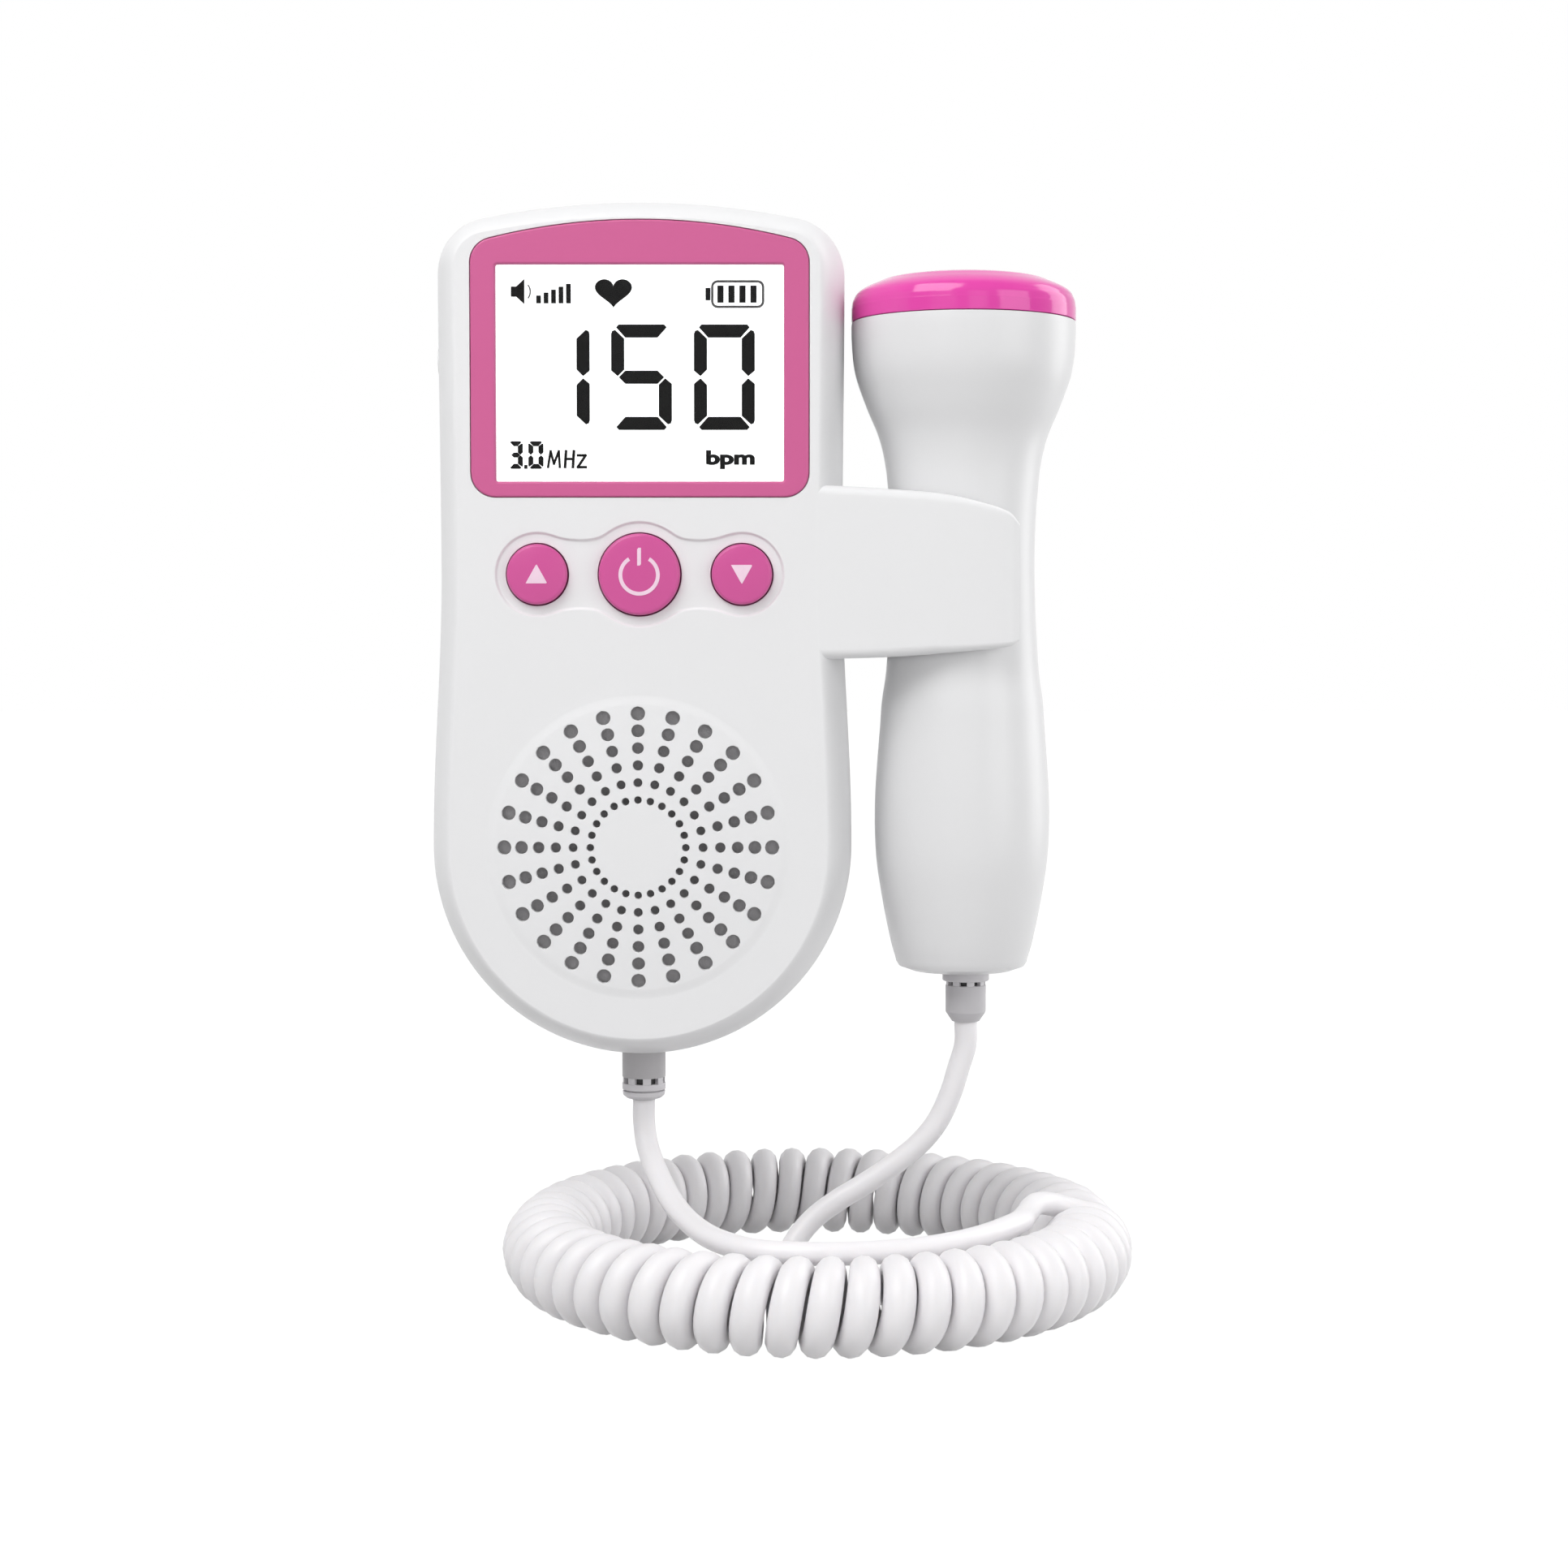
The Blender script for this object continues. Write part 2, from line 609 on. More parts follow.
def holder_jaw(name, front):
    """Half of the holder: a bar that leaves the case flush with its face and thins at the tip."""
    sections = []
    for along, drop, rise, setback in ARM_SHARES:
        x = ARM_ROOT_X + (ARM_TIP_X - ARM_ROOT_X) * along
        top = ARM_ROOT_TOP + (ARM_TIP_TOP - ARM_ROOT_TOP) * drop
        bottom = ARM_ROOT_BOTTOM + (ARM_TIP_BOTTOM - ARM_ROOT_BOTTOM) * rise
        face = CASE_DEPTH - ARM_TIP_SETBACK * setback
        inner = face - ARM_EDGE_ROUND
        outline = [(SPLIT_FRONT, top)]
        outline += arc((inner, top - ARM_EDGE_ROUND), ARM_EDGE_ROUND, 90, 0, 2)
        outline += arc((inner, bottom + ARM_EDGE_ROUND), ARM_EDGE_ROUND, 0, -90, 2)
        outline.append((SPLIT_FRONT, bottom))
        if not front:
            outline = [(CASE_DEPTH - d, z) for d, z in outline]
        sections.append([(x, -d, z) for d, z in outline])
    return loft(name, sections)


def holder_slot(name):
    """The slot of both jaws, open to the right: round at its end, with straight sides."""
    half = slot_half()
    end = ARM_TIP_X + OVERRUN
    outline = arc((PROBE_X, MID_Y), half, 90, 270, 12)
    outline += [(end, MID_Y - half), (end, MID_Y + half)]
    return flat_solid(name, [outline], ARM_ROOT_BOTTOM - OVERRUN, ARM_ROOT_TOP + OVERRUN)


def gland_bore(name):
    bore = drum(name, RELIEF_NECK_RADIUS + GAP, CASE_BOTTOM - OVERRUN, CASE_BOTTOM + CASE_WALL + OVERRUN, 16)
    bore.location = (0, MID_Y, 0)
    return bore


def jack_bore(name):
    bore = drum(name, JACK_RADIUS + GAP, 0, CASE_BOTTOM_RADIUS, 16)
    bore.rotation_euler = (0, math.radians(-90), 0)
    bore.location = (-BOARD_HALF_WIDTH, MID_Y, JACK_Z)
    return bore


def speaker_seat():
    """Cuts the stepped opening for the grille disc."""
    seat = SPEAKER_RADIUS + GAP
    bore = SPEAKER_RADIUS - GRILLE_LEDGE
    step = CASE_DEPTH - GRILLE_THICKNESS - GAP
    profile = [
        (0, CASE_DEPTH + OVERRUN),
        (seat, CASE_DEPTH + OVERRUN),
        (seat, step),
        (bore, step),
        (bore, INNER_FRONT - OVERRUN),
        (0, INNER_FRONT - OVERRUN),
    ]
    return ahead(turned("speaker_seat", profile, 36), 0, SPEAKER_Z)


def front_cover():
    cover = slab("front_cover", [case_outline(0)], SPLIT_FRONT, CASE_DEPTH)
    round_rim(cover, CASE_DEPTH, FRONT_ROUND, 3)
    join(cover, holder_jaw("front_jaw", True))
    hollow = slab("front_hollow", [case_outline(CASE_WALL)], SPLIT_FRONT - OVERRUN, INNER_FRONT)
    round_rim(hollow, INNER_FRONT, FRONT_ROUND - CASE_WALL, 2)
    cut(cover, hollow)
    rib_inner = SPEAKER_RADIUS + GAP
    rib_outer = rib_inner + SPEAKER_RIB_WALL
    rib_end = INNER_FRONT - SPEAKER_RIB_HEIGHT
    rib_top = INNER_FRONT + EMBED
    rib = [(rib_outer, rib_top), (rib_outer, rib_end), (rib_inner, rib_end), (rib_inner, rib_top)]
    join(cover, ahead(turned("speaker_rib", rib, 24, ring=True), 0, SPEAKER_Z))
    bore_end = SCREW_HEAD_SUNK + SCREW_LENGTH + GAP
    for number, (x, z) in enumerate(screw_places(), 1):
        boss = drum(f"front_boss_{number}", BOSS_RADIUS, SPLIT_FRONT + GAP, INNER_FRONT + EMBED, 14)
        join(cover, ahead(boss, x, z))
        bore = drum(f"front_bore_{number}", SCREW_SHANK_RADIUS + GAP, 0, bore_end, 10)
        cut(cover, ahead(bore, x, z))
    cut(cover, slab("bezel_recess", [bezel_outline(GAP)], CASE_DEPTH - BEZEL_RECESS, CASE_DEPTH + OVERRUN))
    opening = window_outline(WINDOW_LAP + GAP)
    cut(cover, slab("window_opening", [opening], INNER_FRONT - OVERRUN, CASE_DEPTH + OVERRUN))
    cut(cover, slab("key_pocket", [pocket_outline()], CASE_DEPTH - POCKET_DEPTH, CASE_DEPTH + OVERRUN))
    for key, x, radius in key_places():
        bore = drum(f"{key}_key_bore", radius + GAP, INNER_FRONT - OVERRUN, CASE_DEPTH + OVERRUN, 24)
        cut(cover, ahead(bore, x, KEY_Z))
    cut(cover, speaker_seat())
    cut(cover, holder_slot("front_slot"))
    cut(cover, gland_bore("front_gland_bore"))
    cut(cover, jack_bore("front_jack_bore"))
    return finish(cover, "white_abs_front", WHITE, 0.32)


def rear_cover():
    cover = slab("rear_cover", [case_outline(0)], 0, SPLIT_REAR)
    round_rim(cover, 0, REAR_ROUND, 3)
    join(cover, holder_jaw("rear_jaw", False))
    hollow = slab("rear_hollow", [case_outline(CASE_WALL)], CASE_WALL, SPLIT_REAR + OVERRUN)
    round_rim(hollow, CASE_WALL, REAR_ROUND - CASE_WALL, 2)
    cut(cover, hollow)
    frame_half = DOOR_HALF + DOOR_FRAME_WALL
    frame_low = DOOR_BOTTOM - DOOR_FRAME_WALL
    frame_high = DOOR_TOP + DOOR_FRAME_WALL
    join(cover, panel("door_frame", frame_half, frame_low, frame_high, EMBED, DOOR_FRAME_DEPTH))
    tray_half = BAY_HALF + TRAY_WALL
    tray_low = BAY_BOTTOM - TRAY_WALL
    tray_high = BAY_TOP + TRAY_WALL
    join(cover, panel("battery_tray", tray_half, tray_low, tray_high, CASE_WALL, BAY_DEPTH + TRAY_WALL))
    seat_end = SCREW_HEAD_SUNK + SCREW_HEAD_HEIGHT
    for number, (x, z) in enumerate(screw_places(), 1):
        boss = drum(f"rear_boss_{number}", REAR_BOSS_RADIUS, CASE_WALL - EMBED, SPLIT_REAR - GAP, 14)
        join(cover, ahead(boss, x, z))
        seat = drum(f"head_bore_{number}", SCREW_HEAD_RADIUS + GAP, -OVERRUN, seat_end, 14)
        cut(cover, ahead(seat, x, z))
        bore = drum(f"rear_bore_{number}", SCREW_SHANK_RADIUS + GAP, 0, SPLIT_REAR + OVERRUN, 10)
        cut(cover, ahead(bore, x, z))
    cut(cover, panel("battery_bay", BAY_HALF, BAY_BOTTOM, BAY_TOP, -OVERRUN, BAY_DEPTH))
    pocket_low = DOOR_BOTTOM - GAP
    pocket_high = DOOR_TOP + DOOR_SWING_GAP
    corners = (DOOR_CORNER_RADIUS + GAP, DOOR_HINGE_RADIUS + GAP)
    pocket = rounded_box(DOOR_HALF + GAP, pocket_low, pocket_high, *corners)
    cut(cover, slab("door_pocket", [pocket], -OVERRUN, DOOR_THICKNESS + DOOR_SEAT_GAP))
    cut(cover, holder_slot("rear_slot"))
    cut(cover, gland_bore("rear_gland_bore"))
    cut(cover, jack_bore("rear_jack_bore"))
    return finish(cover, "white_abs_rear", WHITE, 0.35)


def display():
    """Bezel, window, panel and backlight, each seated on the next."""
    seat = CASE_DEPTH - BEZEL_RECESS
    front = CASE_DEPTH + BEZEL_PROUD
    bezel = slab("display_bezel", [bezel_outline(0), window_outline(0)], seat + GAP, front)
    finish(bezel, "pink_abs_bezel", PINK, 0.35)
    lap = WINDOW_LAP
    bottom = WINDOW_Z - WINDOW_HALF_HEIGHT
    top = WINDOW_Z + WINDOW_HALF_HEIGHT
    window = panel("display_window", WINDOW_HALF_WIDTH + lap, bottom - lap, top + lap, INNER_FRONT, seat)
    finish(window, "clear_acrylic", (0.9, 0.9, 0.9), 0.05, transmission=1.0)
    lap = LCD_LAP
    lcd_back = LCD_FRONT - LCD_THICKNESS
    lcd = panel("lcd_panel", WINDOW_HALF_WIDTH + lap, bottom - lap, top + lap, lcd_back, LCD_FRONT)
    finish(lcd, "lcd_glass", (0.85, 0.87, 0.88), 0.15)
    light_back = BOARD_FRONT + GAP
    light_front = lcd_back - GAP
    light = panel("lcd_backlight", WINDOW_HALF_WIDTH + lap, bottom - lap, top + lap, light_back, light_front)
    finish(light, "backlight_acrylic", (0.9, 0.9, 0.88), 0.4)


def board():
    back = BOARD_FRONT - BOARD_THICKNESS
    plate = panel("main_board", BOARD_HALF_WIDTH, BOARD_BOTTOM, BOARD_TOP, back, BOARD_FRONT)
    return finish(plate, "circuit_board", GREEN, 0.5)


def keys():
    """The three sprung keys and the switch that each one presses."""
    flange_front = INNER_FRONT - GAP
    flange_back = flange_front - KEY_FLANGE_THICKNESS
    tip = flange_back - KEY_TRAVEL - GAP
    for key, x, radius in key_places():
        top = CASE_DEPTH + KEY_PROUD - flange_back
        profile = [
            (0, top),
            (radius / 2, top - KEY_CROWN / 4),
            (radius - KEY_EDGE, top - KEY_CROWN),
            (radius, top - KEY_CROWN - KEY_EDGE),
            (radius, KEY_FLANGE_THICKNESS),
            (radius + KEY_FLANGE, KEY_FLANGE_THICKNESS),
            (radius + KEY_FLANGE, 0),
            (0, 0),
        ]
        cap = ahead(turned(f"{key}_button", profile, 20), x, KEY_Z)
        cap.location.y = -flange_back
        finish(cap, f"pink_{key}_key", PINK, 0.3)
        half = SWITCH_SIZE / 2
        low = (x - half, SWITCH_PLUNGER_RISE - tip, KEY_Z - half)
        high = (x + half, -BOARD_FRONT - GAP, KEY_Z + half)
        switch = block(f"{key}_switch", low, high)
        plunger = drum(f"{key}_plunger", SWITCH_PLUNGER_RADIUS, BOARD_FRONT + OVERRUN, tip, 12)
        join(switch, ahead(plunger, x, KEY_Z))
        finish(switch, f"{key}_switch_body", DARK, 0.5)


def speaker_grille():
    """The disc of sound holes: spokes of holes that grow outwards, on a shallow dish."""
    outlines = [arc((0, 0), SPEAKER_RADIUS, 0, 360, 36)[:-1]]
    for ring in range(RING_COUNT):
        distance = FIRST_HOLE_RING + HOLE_RING_PITCH * ring
        radius = (SMALL_HOLE + (LARGE_HOLE - SMALL_HOLE) * ring / (RING_COUNT - 1)) / 2
        for spoke in range(SPOKE_COUNT):
            turn = math.radians(90 + 360 * spoke / SPOKE_COUNT)
            centre = (distance * math.cos(turn), distance * math.sin(turn))
            sides = LARGE_HOLE_SIDES if ring >= RING_COUNT / 2 else SMALL_HOLE_SIDES
            outlines.append(arc(centre, radius, 0, 360, sides)[:-1])
    disc = flat_solid("speaker_grille", outlines, CASE_DEPTH - GRILLE_THICKNESS, CASE_DEPTH)
    for vertex in disc.data.vertices:
        share = math.hypot(vertex.co.x, vertex.co.y) / SPEAKER_RADIUS
        vertex.co.z -= GRILLE_DISH * (1 - share**2)
    return finish(ahead(disc, 0, SPEAKER_Z), "white_abs_grille", WHITE, 0.4)


def speaker():
    """Gasket, cone, frame and magnet behind the grille."""
    top = INNER_FRONT - GAP
    under = top - GASKET_THICKNESS
    inner = SPEAKER_RADIUS - GRILLE_LEDGE
    ring = [(SPEAKER_RADIUS, top), (SPEAKER_RADIUS, under), (inner, under), (inner, top)]
    finish(ahead(turned("speaker_gasket", ring, 20, ring=True), 0, SPEAKER_Z), "gasket_foam", DARK, 0.9)

    rim = under - GAP
    throat = SPEAKER_RADIUS - FRAME_FLANGE
    floor = rim - FRAME_DEPTH
    frame = [
        (SPEAKER_RADIUS, rim),
        (SPEAKER_RADIUS, rim - FRAME_WALL),
        (throat + FRAME_WALL, rim - FRAME_WALL),
        (FRAME_BACK_RADIUS + FRAME_WALL, floor),
        (FRAME_BORE, floor),
        (FRAME_BORE, floor + FRAME_WALL),
        (FRAME_BACK_RADIUS, floor + FRAME_WALL),
        (throat, rim - FRAME_WALL),
        (throat, rim),
    ]
    basket = ahead(turned("speaker_frame", frame, 20, ring=True), 0, SPEAKER_Z)
    finish(basket, "speaker_steel", STEEL, 0.4, 0.9)

    edge = inner - GAP
    cone_top = rim + GAP + CONE_THICKNESS
    apex = cone_top - CONE_DEPTH
    cone = [
        (0, apex + CONE_THICKNESS + DUST_CAP_RADIUS / 3),
        (DUST_CAP_RADIUS, apex + CONE_THICKNESS),
        (throat, cone_top),
        (edge, cone_top),
        (edge, cone_top - CONE_THICKNESS),
        (throat, cone_top - CONE_THICKNESS),
        (DUST_CAP_RADIUS, apex),
        (0, apex + DUST_CAP_RADIUS / 3),
    ]
    finish(ahead(turned("speaker_cone", cone, 16), 0, SPEAKER_Z), "speaker_paper", DARK, 0.8)

    back = floor - GAP
    magnet = drum("speaker_magnet", MAGNET_RADIUS, back - MAGNET_THICKNESS, back, 24)
    finish(ahead(magnet, 0, SPEAKER_Z), "magnet_ferrite", DARK, 0.4)


def battery(number, x, nub_up):
    profile = [
        (0, CELL_LENGTH),
        (CELL_NUB_RADIUS, CELL_LENGTH),
        (CELL_NUB_RADIUS, CELL_LENGTH - CELL_NUB_HEIGHT),
        (CELL_RADIUS - CELL_EDGE, CELL_LENGTH - CELL_NUB_HEIGHT),
        (CELL_RADIUS, CELL_LENGTH - CELL_NUB_HEIGHT - CELL_EDGE),
        (CELL_RADIUS, CELL_EDGE),
        (CELL_RADIUS - CELL_EDGE, 0),
        (0, 0),
    ]
    cell = turned(f"battery_{number}", profile, 16)
    y = CELL_RADIUS + GAP - BAY_DEPTH
    lower = BAY_BOTTOM + GAP + CONTACT_THICKNESS + GAP
    if nub_up:
        cell.location = (x, y, lower + SPRING_HEIGHT)
    else:
        cell.rotation_euler = (math.radians(180), 0, 0)
        cell.location = (x, y, lower + CELL_LENGTH)
    return finish(cell, f"battery_{number}_wrap", STEEL, 0.3, 0.6)


def battery_contact(name, spring_x, at_top):
    """A plate that bridges both cells, with a spring cone for one of them."""
    half = BAY_HALF - GAP
    depth = BAY_DEPTH - 2 * CELL_RADIUS
    low = BAY_TOP - GAP - CONTACT_THICKNESS if at_top else BAY_BOTTOM + GAP
    plate = panel(name, half, low, low + CONTACT_THICKNESS, depth, BAY_DEPTH - GAP)
    cone = [(0, SPRING_HEIGHT), (SPRING_TIP_RADIUS, SPRING_HEIGHT), (SPRING_BASE_RADIUS, 0)]
    cone += [(SPRING_BASE_RADIUS, -CONTACT_THICKNESS / 2), (0, -CONTACT_THICKNESS / 2)]
    spring = turned(name + "_spring", cone, 14)
    y = CELL_RADIUS + GAP - BAY_DEPTH
    if at_top:
        spring.rotation_euler = (math.radians(180), 0, 0)
        spring.location = (spring_x, y, low)
    else:
        spring.location = (spring_x, y, low + CONTACT_THICKNESS)
    join(plate, spring)
    return finish(plate, name + "_plate", STEEL, 0.25, 1.0)


def batteries():
    battery(1, -CELL_X, True)
    battery(2, CELL_X, False)
    battery_contact("battery_contact_top", CELL_X, True)
    battery_contact("battery_contact_bottom", -CELL_X, False)


def battery_door():
    """The door hangs from an empty on its hinge line, just below its top edge."""
    hinge = bpy.data.objects.new("battery_door_hinge", None)
    group("fetal_doppler", True).objects.link(hinge)
    hinge.location = (0, -HINGE_INSET, DOOR_TOP - HINGE_INSET)
    outline = rounded_box(DOOR_HALF, DOOR_BOTTOM, DOOR_TOP, DOOR_CORNER_RADIUS, DOOR_HINGE_RADIUS)
    door = finish(slab("battery_door", [outline], 0, DOOR_THICKNESS), "white_abs_door", WHITE, 0.4)
    door.parent = hinge
    door.location = -hinge.location
    return door


def case_screws():
    profile = [
        (0, SCREW_LENGTH),
        (SCREW_SHANK_RADIUS, SCREW_LENGTH - SCREW_SHANK_RADIUS),
        (SCREW_SHANK_RADIUS, SCREW_HEAD_HEIGHT),
        (SCREW_HEAD_RADIUS, SCREW_HEAD_HEIGHT),
        (SCREW_HEAD_RADIUS, 0),
        (0, 0),
    ]
    for number, (x, z) in enumerate(screw_places(), 1):
        screw = ahead(turned(f"case_screw_{number}", profile, 12), x, z)
        screw.location.y = GAP - SCREW_HEAD_SUNK
        finish(screw, f"screw_{number}_zinc", STEEL, 0.3, 1.0)


def earphone_jack():
    """A blind socket, its mouth just inside the left side."""
    depth = JACK_LENGTH - JACK_END_WALL
    profile = [
        (0, -depth),
        (JACK_BORE, -depth),
        (JACK_BORE, 0),
        (JACK_RADIUS, 0),
        (JACK_RADIUS, -JACK_COLLAR),
        (JACK_BODY_RADIUS, -JACK_COLLAR),
        (JACK_BODY_RADIUS, -JACK_LENGTH),
        (0, -JACK_LENGTH),
    ]
    jack = turned("earphone_jack", profile, 12)
    jack.rotation_euler = (0, math.radians(-90), 0)
    jack.location = (-CASE_WAIST_HALF, MID_Y, JACK_Z)
    return finish(jack, "jack_nylon", DARK, 0.45)


def strain_relief(name, inner_z, outer_z, radius, end_radius, length, shares):
    """Flange, neck and grooved body, turned about local z. Heights are the wall's two faces."""
    flange = inner_z + GAP
    profile = [(0, flange + RELIEF_FLANGE_HEIGHT), (RELIEF_FLANGE_RADIUS, flange + RELIEF_FLANGE_HEIGHT)]
    profile += [(RELIEF_FLANGE_RADIUS, flange), (RELIEF_NECK_RADIUS, flange)]
    profile.append((RELIEF_NECK_RADIUS, outer_z - GAP))
    top = outer_z - GAP
    profile += [(radius - RELIEF_GROOVE * sunk, top - length * down) for down, sunk in shares]
    profile += [(end_radius, top - length), (0, top - length)]
    return turned(name, profile, 16)


def main_relief():
    inner_radius = CASE_BOTTOM_RADIUS - CASE_WALL
    rise = inner_radius - math.sqrt(inner_radius**2 - RELIEF_FLANGE_RADIUS**2)
    wall = CASE_BOTTOM + CASE_WALL + rise
    relief = strain_relief(
        "strain_relief_main", wall, CASE_BOTTOM, MAIN_RELIEF_RADIUS, MAIN_RELIEF_END_RADIUS,
        MAIN_RELIEF_LENGTH, MAIN_RELIEF_SHARES,
    )
    relief.location = (0, MID_Y, 0)
    return finish(relief, "grey_pvc_main", GREY, 0.5)


def main_relief_end():
    return Vector((0, MID_Y, CASE_BOTTOM - GAP - MAIN_RELIEF_LENGTH))


def probe_outline(inset):
    """The probe body's outer side from its top to its foot, moved in by an inset."""
    points = []
    for up, out in reversed(HEAD_SHARES):
        z = PROBE_NECK_TOP + (PROBE_TOP - PROBE_NECK_TOP) * up
        points.append((NECK_RADIUS + (HEAD_RADIUS - NECK_RADIUS) * out - inset, z))
    for down, out in GRIP_SHARES:
        z = PROBE_NECK_BOTTOM + (PROBE_GRIP_Z - PROBE_NECK_BOTTOM) * down
        points.append((NECK_RADIUS + (GRIP_RADIUS - NECK_RADIUS) * out - inset, z))
    floor = PROBE_BOTTOM + inset
    for down, inwards in FOOT_SHARES:
        z = PROBE_GRIP_Z + (floor - PROBE_GRIP_Z) * down
        points.append((GRIP_RADIUS + (FOOT_RADIUS - GRIP_RADIUS) * inwards - inset, z))
    return points


def probe_shell(name, front):
    """Half of the probe's body, split from the other along its middle plane."""
    outer = probe_outline(0)
    inner = probe_outline(PROBE_WALL)
    inner = inner[:1] + inner[1:-1:2] + inner[-1:]
    profile = [(0, inner[-1][1])] + inner[::-1] + outer + [(0, PROBE_BOTTOM)]
    shell = turned(name, profile, 24)
    reach = HEAD_RADIUS + OVERRUN
    side = GAP / 2 if front else -GAP / 2
    low = (-reach, -side, PROBE_BOTTOM - OVERRUN) if front else (-reach, -reach, PROBE_BOTTOM - OVERRUN)
    high = (reach, reach, PROBE_TOP + OVERRUN) if front else (reach, -side, PROBE_TOP + OVERRUN)
    cut(shell, block(name + "_other_half", low, high))
    bore_low = PROBE_BOTTOM - OVERRUN
    bore_high = inner[-1][1] + OVERRUN
    bore = drum(name + "_gland_bore", RELIEF_NECK_RADIUS + GAP, bore_low, bore_high, 16)
    bore.location.x = PROBE_RELIEF_SHIFT
    cut(shell, bore)
    return finish(shell, name.replace("shell", "white_abs"), WHITE, 0.25)


def transducer_cap():
    """The domed tip: a skirt inside the shell, a shoulder on its rim and a hollow for the crystals."""
    skirt = HEAD_RADIUS - PROBE_WALL - GAP
    bore = skirt - CAP_WALL
    base = PROBE_TOP + GAP
    profile = [(0, base + CAP_HEIGHT)]
    profile += [(HEAD_RADIUS * wide, base + CAP_HEIGHT * up) for wide, up in reversed(CAP_SHARES)]
    profile += [(skirt, base), (skirt, base - CAP_SKIRT), (bore, base - CAP_SKIRT)]
    profile += [(bore, cap_ceiling()), (0, cap_ceiling())]
    return finish(turned("transducer_cap", profile, 28), "pink_gloss_cap", HOT_PINK, 0.08)


def cap_ceiling():
    return PROBE_TOP + GAP + CAP_HEIGHT - 2 * CAP_WALL


def crystals():
    """Two half discs, one to send and one to receive, on a backing block under the cap."""
    radius = HEAD_RADIUS - PROBE_WALL - CAP_WALL - 2 * GAP
    top = cap_ceiling() - GAP
    start = math.degrees(math.asin(CRYSTAL_SPLIT / 2 / radius))
    found = []
    for name, turn in (("crystal_transmit", 0), ("crystal_receive", 180)):
        outline = arc((0, 0), radius, start, 180 - start, 10)
        crystal = flat_solid(name, [outline], top - CRYSTAL_THICKNESS, top)
        crystal.rotation_euler = (0, 0, math.radians(turn + 90))
        found.append(finish(crystal, name.replace("crystal", "piezo"), CERAMIC, 0.35))
    under = top - CRYSTAL_THICKNESS - GAP
    backing = drum("crystal_backing", radius, under - BACKING_THICKNESS, under, 24)
    return found + [finish(backing, "backing_epoxy", DARK, 0.6)]


def probe_board():
    half = NECK_RADIUS - PROBE_WALL - GAP - GAP / 2
    thick = PROBE_BOARD_THICKNESS / 2
    plate = block("probe_board", (-half, -thick, PROBE_BOARD_BOTTOM), (half, thick, PROBE_BOARD_TOP))
    return finish(plate, "probe_circuit_board", GREEN, 0.5)


def probe_relief():
    relief = strain_relief(
        "strain_relief_probe", PROBE_BOTTOM + PROBE_WALL, PROBE_BOTTOM, PROBE_RELIEF_RADIUS,
        PROBE_RELIEF_END_RADIUS, PROBE_RELIEF_LENGTH, PROBE_RELIEF_SHARES,
    )
    relief.location.x = PROBE_RELIEF_SHIFT
    return finish(relief, "grey_pvc_probe", GREY, 0.5)


def probe_relief_end():
    return Vector((PROBE_X + PROBE_RELIEF_SHIFT, MID_Y, PROBE_BOTTOM - GAP - PROBE_RELIEF_LENGTH))


def probe():
    """The probe's pieces hang from an empty on its axis, which slides out of the holder."""
    axis = bpy.data.objects.new("probe_axis", None)
    group("fetal_doppler", True).objects.link(axis)
    axis.location = (PROBE_X, MID_Y, 0)
    pieces = [probe_shell("probe_front_shell", True), probe_shell("probe_rear_shell", False)]
    pieces += [transducer_cap(), probe_board(), probe_relief()] + crystals()
    for piece in pieces:
        piece.parent = axis


def ring_point(radius, turn, z):
    """A point of the ring at an angle from its front towards the right."""
    return Vector((RING_X + radius * math.sin(turn), RING_Y - radius * math.cos(turn), z))


def curl_point(share):
    """A point of the helix, which goes over the ring's top, down its outside and back under."""
    wind = math.radians(90) - math.tau * CURL_TURNS * share
    turn = CURL_START - CURL_SPAN * share
    return ring_point(RING_RADIUS + CURL_RADIUS * math.cos(wind), turn, RING_Z + CURL_RADIUS * math.sin(wind))


def curl_heading(share):
    small = 0.0001
    return (curl_point(share + small) - curl_point(share - small)).normalized()


def lead_in():
    """The bend that turns the cord from the ring's inner shoulder over its top into the first curl."""
    start = ring_point(LEAD_RADIUS, LEAD_START, LEAD_Z)
    heading = Vector((math.cos(LEAD_START), math.sin(LEAD_START), 0))
    end = curl_point(0)
    turn = curl_heading(0)
    rise = Vector((0, 0, LEAD_RISE))
    first = start + heading * LEAD_HANDLE + rise
    second = end - turn * LEAD_HANDLE + rise
    points = interpolate_bezier(start, first, second, end, LEAD_STEPS + 1)
    return [start - heading * CORD_DIAMETER] + points


def curls_route():
    """The whole curly stretch, with a straight diameter at each end."""
    points = lead_in()
    count = round(CURL_TURNS * CURL_STEPS)
    points += [curl_point(i / count) for i in range(1, count + 1)]
    return points + [points[-1] + curl_heading(1) * CORD_DIAMETER]


def smooth(points, step):
    """A smooth curve through the points, read off at an even step."""
    ends = [points[0] * 2 - points[1]] + points + [points[-1] * 2 - points[-2]]
    fine = []
    for before, first, second, after in zip(ends, ends[1:], ends[2:], ends[3:]):
        leave = first + (second - before) * HANDLE_SHARE
        arrive = second - (after - first) * HANDLE_SHARE
        fine += interpolate_bezier(first, leave, arrive, second, SMOOTH_STEPS)[:-1]
    fine.append(points[-1])
    total = length_of(fine)
    count = max(2, round(total / step))
    spaced = [fine[0]]
    walked = 0.0
    for first, second in zip(fine, fine[1:]):
        span = (second - first).length
        while len(spaced) < count and walked + span >= total * len(spaced) / count:
            share = (total * len(spaced) / count - walked) / span
            spaced.append(first.lerp(second, share))
        walked += span
    return spaced + [fine[-1]]


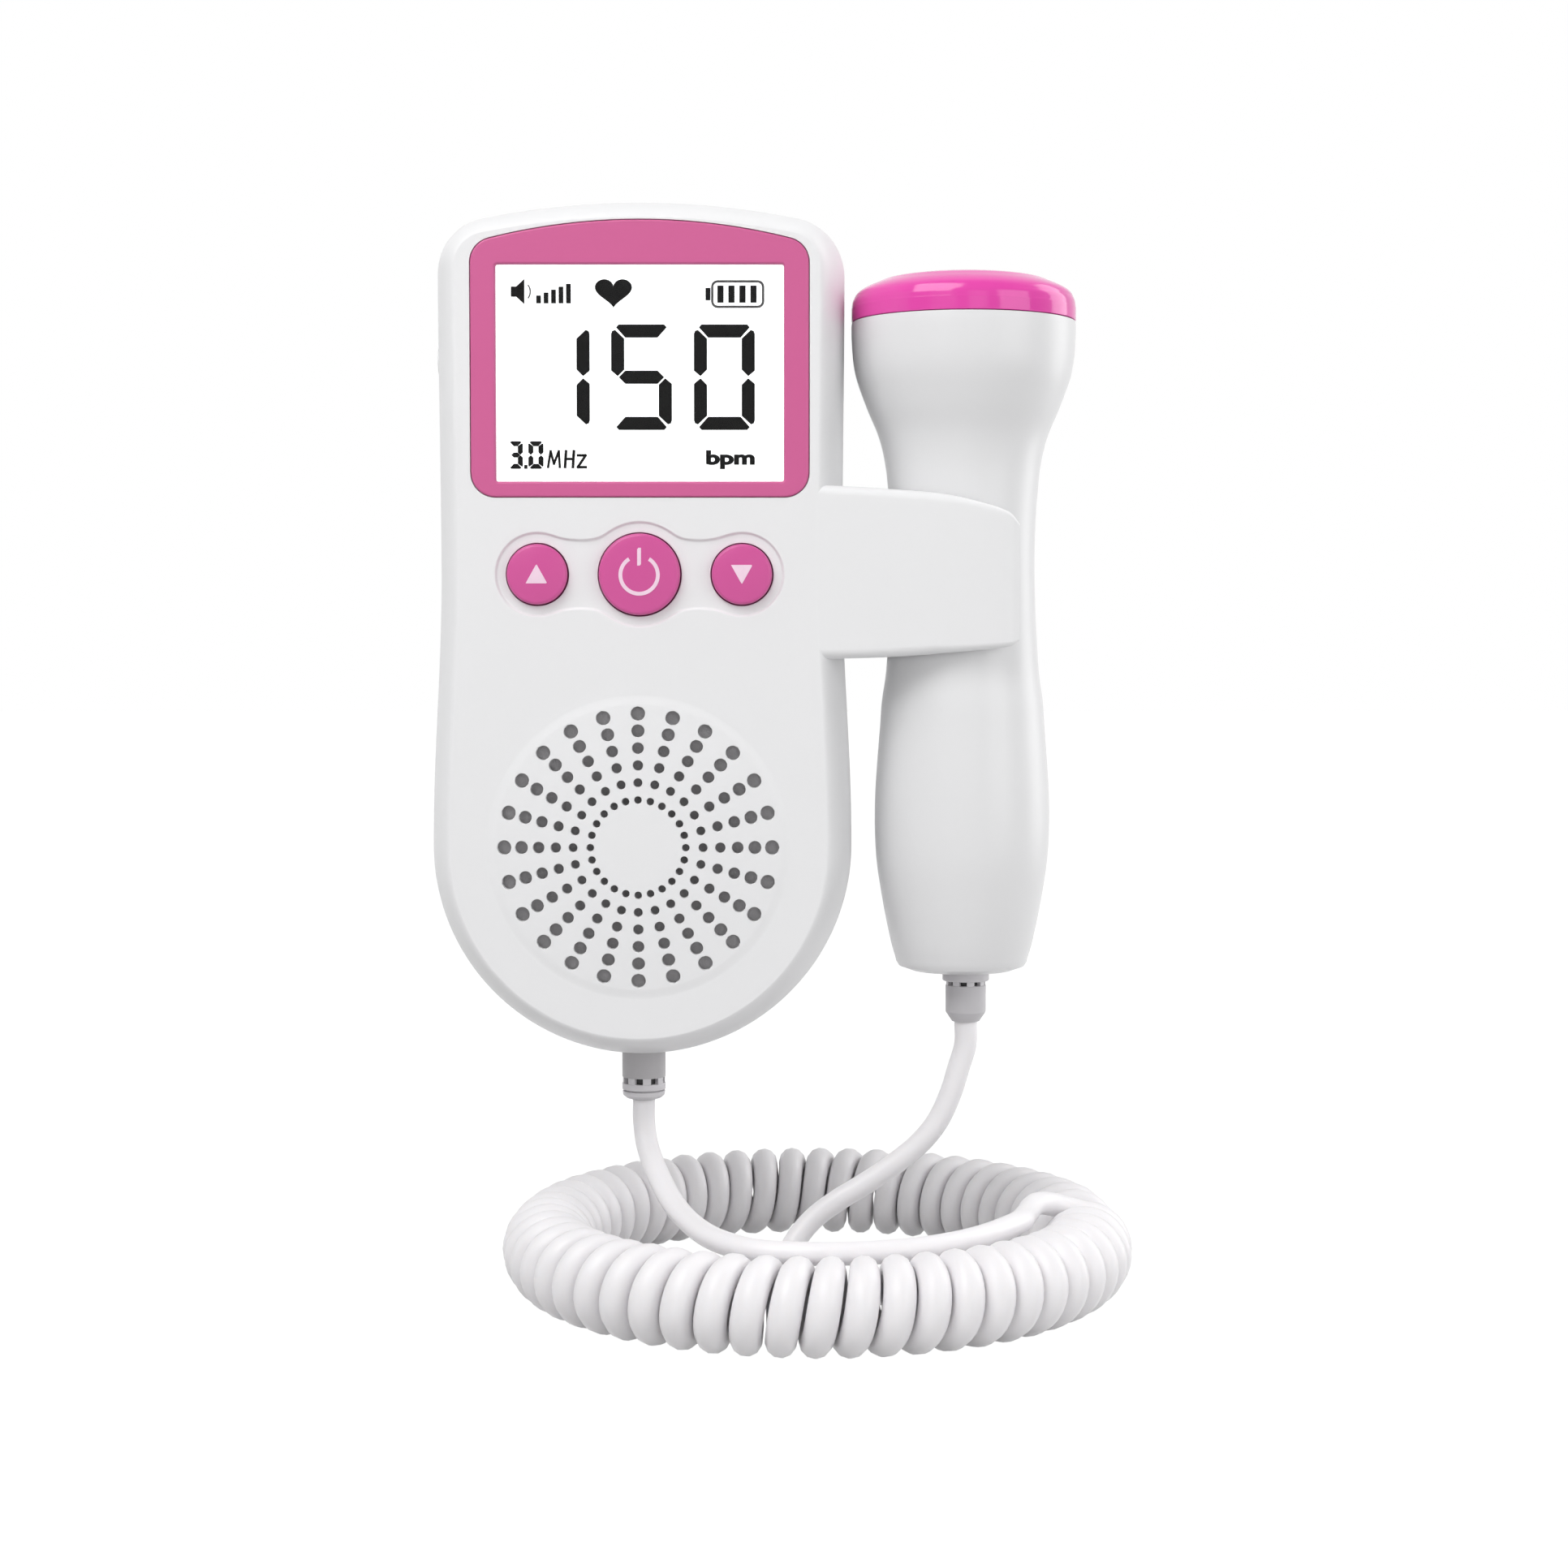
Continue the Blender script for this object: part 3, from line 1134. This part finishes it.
def tail_route(relief_end, places, curl_end, away):
    """From a strain relief by chosen places to a curl's end, straight for a diameter at both ends."""
    away = away.normalized()
    down = Vector((0, 0, -1))
    start = relief_end + down * GAP
    end = curl_end + away * GAP
    route = [Vector(place) * MM for place in places]
    middle = smooth([start + down * CORD_DIAMETER, *route, end + away * CORD_DIAMETER], TAIL_STEP)
    return [start, *middle, end]


def length_of(points):
    return sum((b - a).length for a, b in zip(points, points[1:]))


def least_gap(points, others):
    """The least clear space between two stretches."""
    return min((a - b).length for a in points for b in others) - CORD_DIAMETER


def own_gap(points, apart):
    """The least clear space of a stretch to itself, between points so far apart along it."""
    walked = [0.0]
    for a, b in zip(points, points[1:]):
        walked.append(walked[-1] + (b - a).length)
    least = math.inf
    for i, point in enumerate(points):
        for j in range(i + 1, len(points)):
            if walked[j] - walked[i] > apart:
                least = min(least, (point - points[j]).length)
    return least - CORD_DIAMETER


def cord(name, points, sides_step):
    curve = bpy.data.curves.new(name, "CURVE")
    curve.dimensions = "3D"
    curve.bevel_depth = CORD_DIAMETER / 2
    curve.bevel_resolution = sides_step
    curve.use_fill_caps = True
    spline = curve.splines.new("POLY")
    spline.points.add(len(points) - 1)
    for point, place in zip(spline.points, points):
        point.co = (*place, 1)
    return finish(new_object(name, curve), name + "_pvc", WHITE, 0.4)


def cords():
    """The curly ring and the two straight stretches that join it to the unit and the probe."""
    curls = curls_route()
    main = tail_route(main_relief_end(), MAIN_TAIL_ROUTE, curls[0], curls[0] - curls[1])
    tail = tail_route(probe_relief_end(), PROBE_TAIL_ROUTE, curls[-1], curls[-1] - curls[-2])
    cord("cord_tail_main", main, 2)
    cord("cord_curls", curls, 1)
    cord("cord_tail_probe", tail, 2)
    for name, points in (("main tail", main), ("curls", curls), ("probe tail", tail)):
        print(f"{name}: {length_of(points) / MM:.0f} mm in {len(points)} points")
    print(f"least gap in the curls: {own_gap(curls, math.pi * CURL_RADIUS) / MM:.2f} mm")
    print(f"least gap from main tail to curls: {least_gap(main[:-1], curls) / MM:.2f} mm")
    print(f"least gap from probe tail to curls: {least_gap(tail[:-1], curls) / MM:.2f} mm")
    print(f"least gap between the tails: {least_gap(main, tail) / MM:.2f} mm")


def main():
    for obj in list(bpy.data.objects):
        bpy.data.objects.remove(obj)
    front_cover()
    rear_cover()
    display()
    board()
    keys()
    speaker_grille()
    speaker()
    batteries()
    battery_door()
    case_screws()
    earphone_jack()
    main_relief()
    probe()
    cords()


main()
